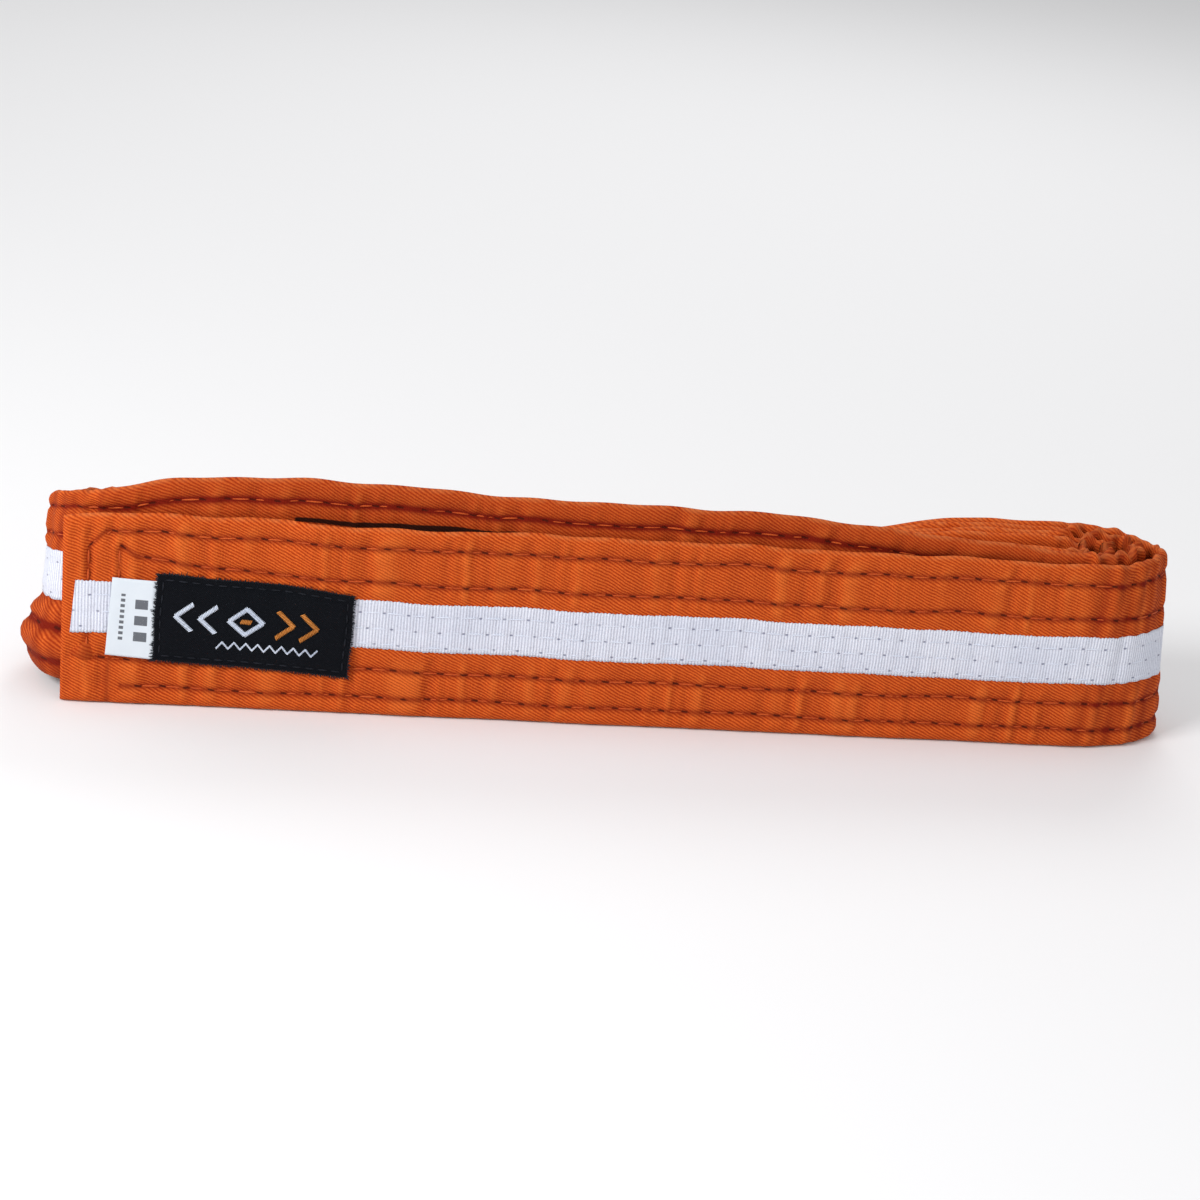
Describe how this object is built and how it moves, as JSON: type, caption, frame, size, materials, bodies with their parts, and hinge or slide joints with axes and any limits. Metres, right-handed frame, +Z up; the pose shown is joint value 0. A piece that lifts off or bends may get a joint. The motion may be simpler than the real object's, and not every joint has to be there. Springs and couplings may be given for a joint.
{
  "type": "martial arts belt",
  "caption": "Cotton martial arts belt with a woven centre stripe, folded into a flat roll on its long edge; the label end swings open and a small tag lifts.",
  "frame": {"origin": "bottom centre of the folded roll's bounding box, on the surface that it stands on", "axes": "+X along the roll towards the first fold, +Y from the label face to the back, +Z up, across the belt's width"},
  "size_m": [0.2302, 0.0272, 0.048],
  "materials": {
    "orange_drill": "matt cotton drill with a visible twill line",
    "interlining": "plain undyed cotton interlining",
    "white_ribbon": "ribbed woven ribbon with a slight sheen",
    "orange_thread": "spun sewing thread",
    "white_thread": "spun sewing thread",
    "label_weave": "dense woven label with fuzzy cut edges",
    "black_thread": "black sewing thread",
    "satin_tag": "smooth white satin tape"
  },
  "bodies": {
    "roll": {"roll_cover": "orange_drill", "roll_core_ply_1": "interlining", "roll_core_ply_2": "interlining", "roll_core_ply_3": "interlining", "roll_face_ribbon": "white_ribbon", "roll_face_thread_top": "orange_thread", "roll_face_thread_upper": "orange_thread", "roll_face_thread_lower": "orange_thread", "roll_face_thread_bottom": "orange_thread", "roll_face_ribbon_thread_1": "white_thread", "roll_face_ribbon_thread_2": "white_thread", "roll_face_ribbon_thread_3": "white_thread", "roll_back_ribbon": "white_ribbon", "roll_back_thread_top": "orange_thread", "roll_back_thread_upper": "orange_thread", "roll_back_thread_lower": "orange_thread", "roll_back_thread_bottom": "orange_thread", "roll_back_ribbon_thread_1": "white_thread", "roll_back_ribbon_thread_2": "white_thread", "roll_back_ribbon_thread_3": "white_thread"},
    "free_end": {"end_cover": "orange_drill", "end_core_ply_1": "interlining", "end_core_ply_2": "interlining", "end_core_ply_3": "interlining", "end_face_ribbon": "white_ribbon", "end_face_thread_top": "orange_thread", "end_face_thread_upper": "orange_thread", "end_face_thread_lower": "orange_thread", "end_face_thread_bottom": "orange_thread", "end_face_ribbon_thread_1": "white_thread", "end_face_ribbon_thread_2": "white_thread", "end_face_ribbon_thread_3": "white_thread", "end_back_ribbon": "white_ribbon", "end_back_thread_top": "orange_thread", "end_back_thread_upper": "orange_thread", "end_back_thread_lower": "orange_thread", "end_back_thread_bottom": "orange_thread", "end_back_ribbon_thread_1": "white_thread", "end_back_ribbon_thread_2": "white_thread", "end_back_ribbon_thread_3": "white_thread", "end_face_seam_outer": "orange_thread", "end_face_seam_inner": "orange_thread", "end_face_seam_lower": "orange_thread", "end_back_seam_outer": "orange_thread", "end_back_seam_inner": "orange_thread", "end_back_seam_lower": "orange_thread", "woven_label": "label_weave", "label_stitching": "black_thread"},
    "tag": {"size_tag": "satin_tag"}
  },
  "joints": [
    {"name": "end_opens", "type": "hinge", "parent": "roll", "child": "free_end", "pos_m": [0.0986, -0.01285, 0.02], "axis": [0, 0, 1], "range_deg": [0, 110]},
    {"name": "tag_lifts", "type": "hinge", "parent": "free_end", "child": "tag", "pos_m": [-0.0926, -0.01357, 0.017], "axis": [0, 0, 1], "range_deg": [0, 150]}
  ]
}
